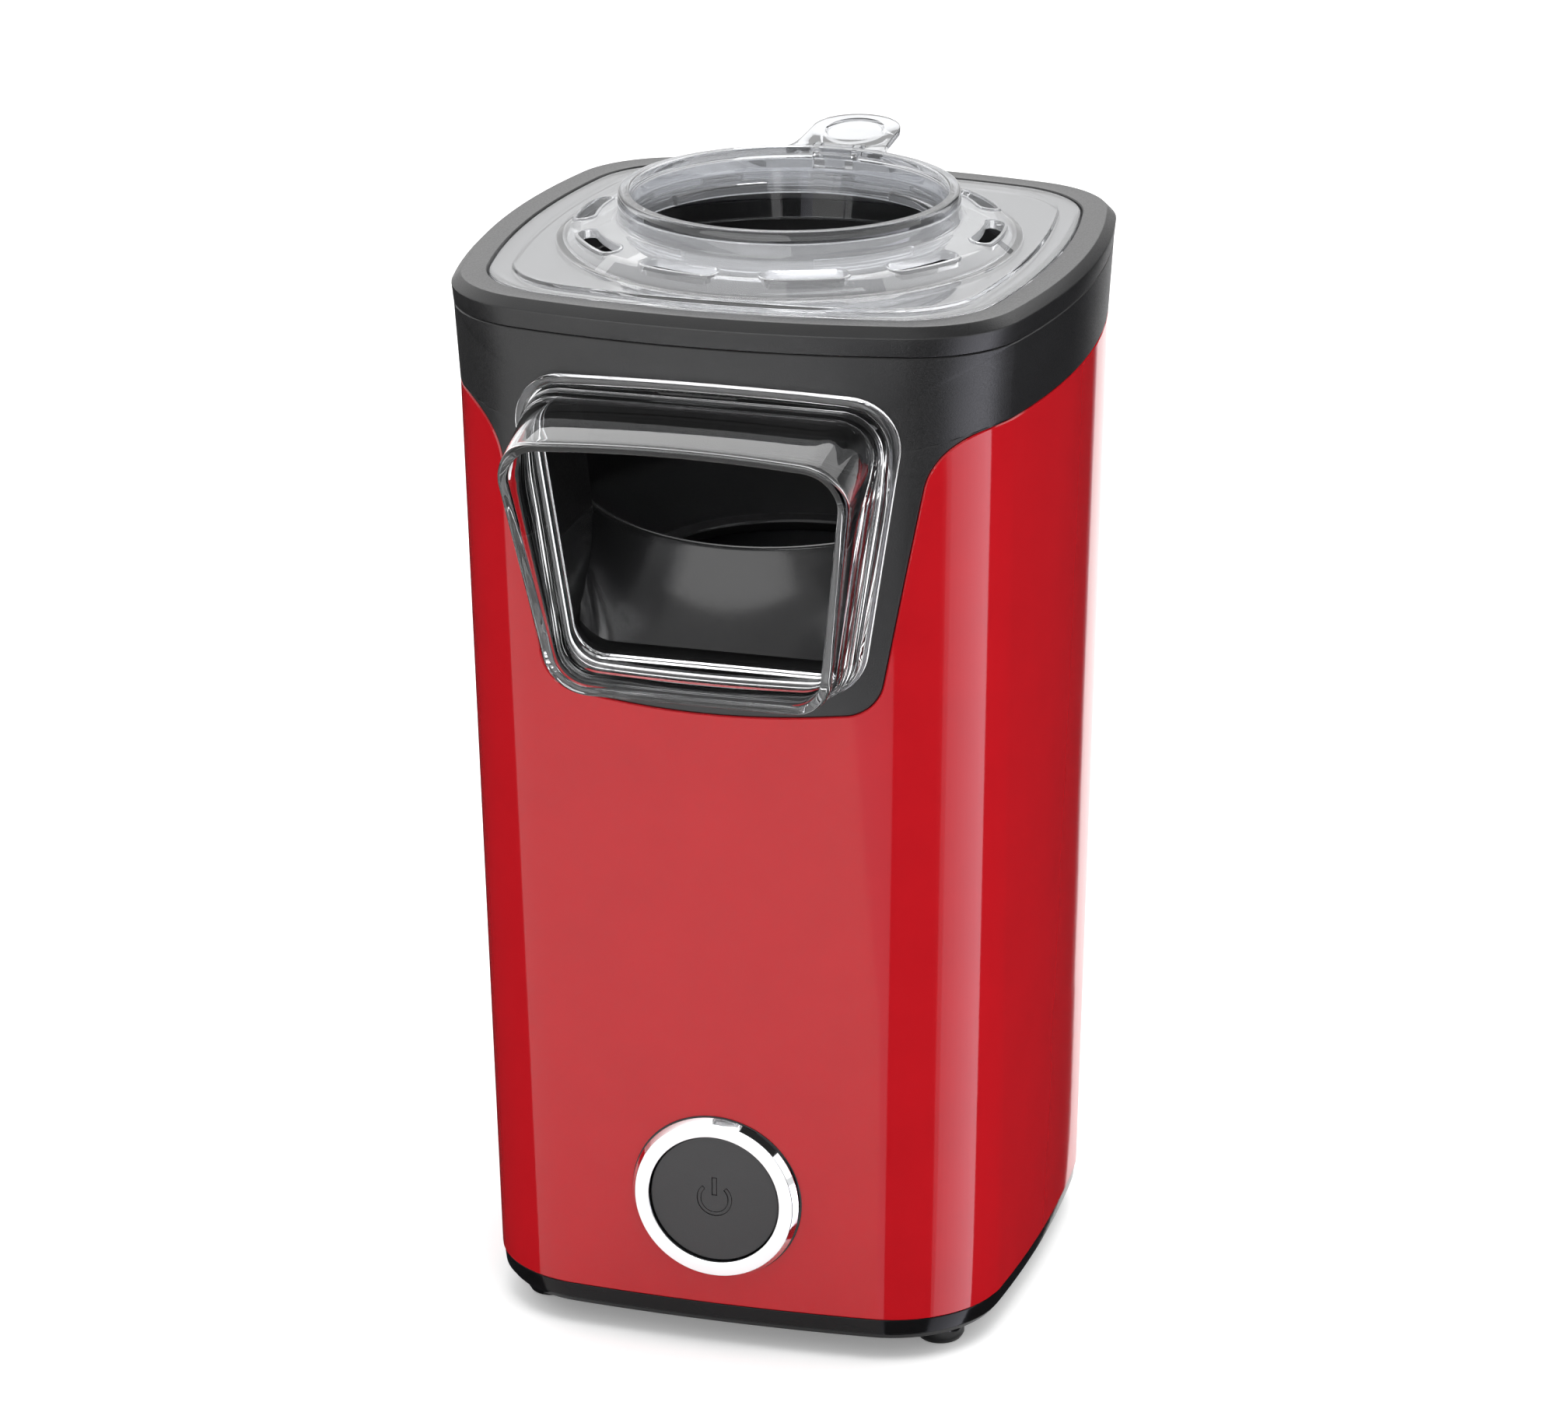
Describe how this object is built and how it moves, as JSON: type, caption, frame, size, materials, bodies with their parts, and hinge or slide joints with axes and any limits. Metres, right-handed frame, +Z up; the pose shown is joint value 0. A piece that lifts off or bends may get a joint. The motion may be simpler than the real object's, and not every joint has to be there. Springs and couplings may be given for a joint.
{
  "type": "hot air popcorn maker",
  "caption": "Tapered red case with a black top, a clear front spout and a clear lid; hot air pops corn in an inner cup and blows it out of the spout.",
  "frame": {"origin": "on the floor under the middle of the machine's outer box, spout included", "axes": "+Z up, the spout and the button face -Y, +X to the viewer's right"},
  "size_m": [0.163, 0.1892, 0.3022],
  "materials": {
    "red_gloss": "high gloss red moulding",
    "black_satin": "fine satin texture",
    "black_gloss": "polished black",
    "black_guide": "satin black, heat resistant",
    "clear": "clear polished plastic",
    "button_dark": "satin dark grey",
    "chrome": "mirror plating",
    "steel": "plain steel",
    "aluminium": "drawn sheet",
    "mica": "pressed mica board",
    "wire": "oxidised heating wire",
    "rubber": "soft black rubber",
    "board": "green circuit board",
    "white_plastic": "off-white moulding",
    "brass_can": "plain brass"
  },
  "bodies": {
    "case": {"shell": "red_gloss", "collar": "black_satin", "bezel": "black_satin", "base": "black_gloss", "feet": "rubber", "base_screws": "steel", "hood": "black_guide", "chute": "clear", "button_ring": "chrome", "button_housing": "black_guide", "button_spring": "steel", "switch": "white_plastic", "cord_gland": "black_satin", "chamber": "aluminium", "duct": "steel", "heater_frame": "mica", "heater_coil": "wire", "thermostat": "brass_can", "thermal_fuse": "white_plastic", "motor": "steel", "motor_bracket": "steel", "dampers": "rubber", "bracket_screws": "steel", "rectifier_board": "board"},
    "push_button": {"button": "button_dark"},
    "rotor": {"fan": "white_plastic", "motor_shaft": "steel"},
    "cover": {"lid": "clear"},
    "filling_ring": {"neck_ring": "clear", "tab_pin": "steel"},
    "thumb_tab": {"flip_tab": "clear"}
  },
  "joints": [
    {"name": "button_press", "type": "slide", "parent": "case", "child": "push_button", "axis": [0, 1, 0], "range_m": [0, 0.003], "stiffness_N_per_m": 800, "springref_m": -0.001, "deforming": ["button_spring"]},
    {"name": "fan_spin", "type": "hinge", "parent": "case", "child": "rotor", "pos_m": [0, 0.01402, 0.07], "axis": [0, 0, 1], "continuous": true},
    {"name": "lid_lift", "type": "slide", "parent": "case", "child": "cover", "axis": [0, 0, 1], "range_m": [0, 0.06]},
    {"name": "ring_twist", "type": "hinge", "parent": "cover", "child": "filling_ring", "pos_m": [0, 0.01402, 0.299], "axis": [0, 0, 1], "range_deg": [0, 25]},
    {"name": "tab_flip", "type": "hinge", "parent": "filling_ring", "child": "thumb_tab", "pos_m": [0, 0.06112, 0.3005], "axis": [1, 0, 0], "range_deg": [0, 90]}
  ]
}
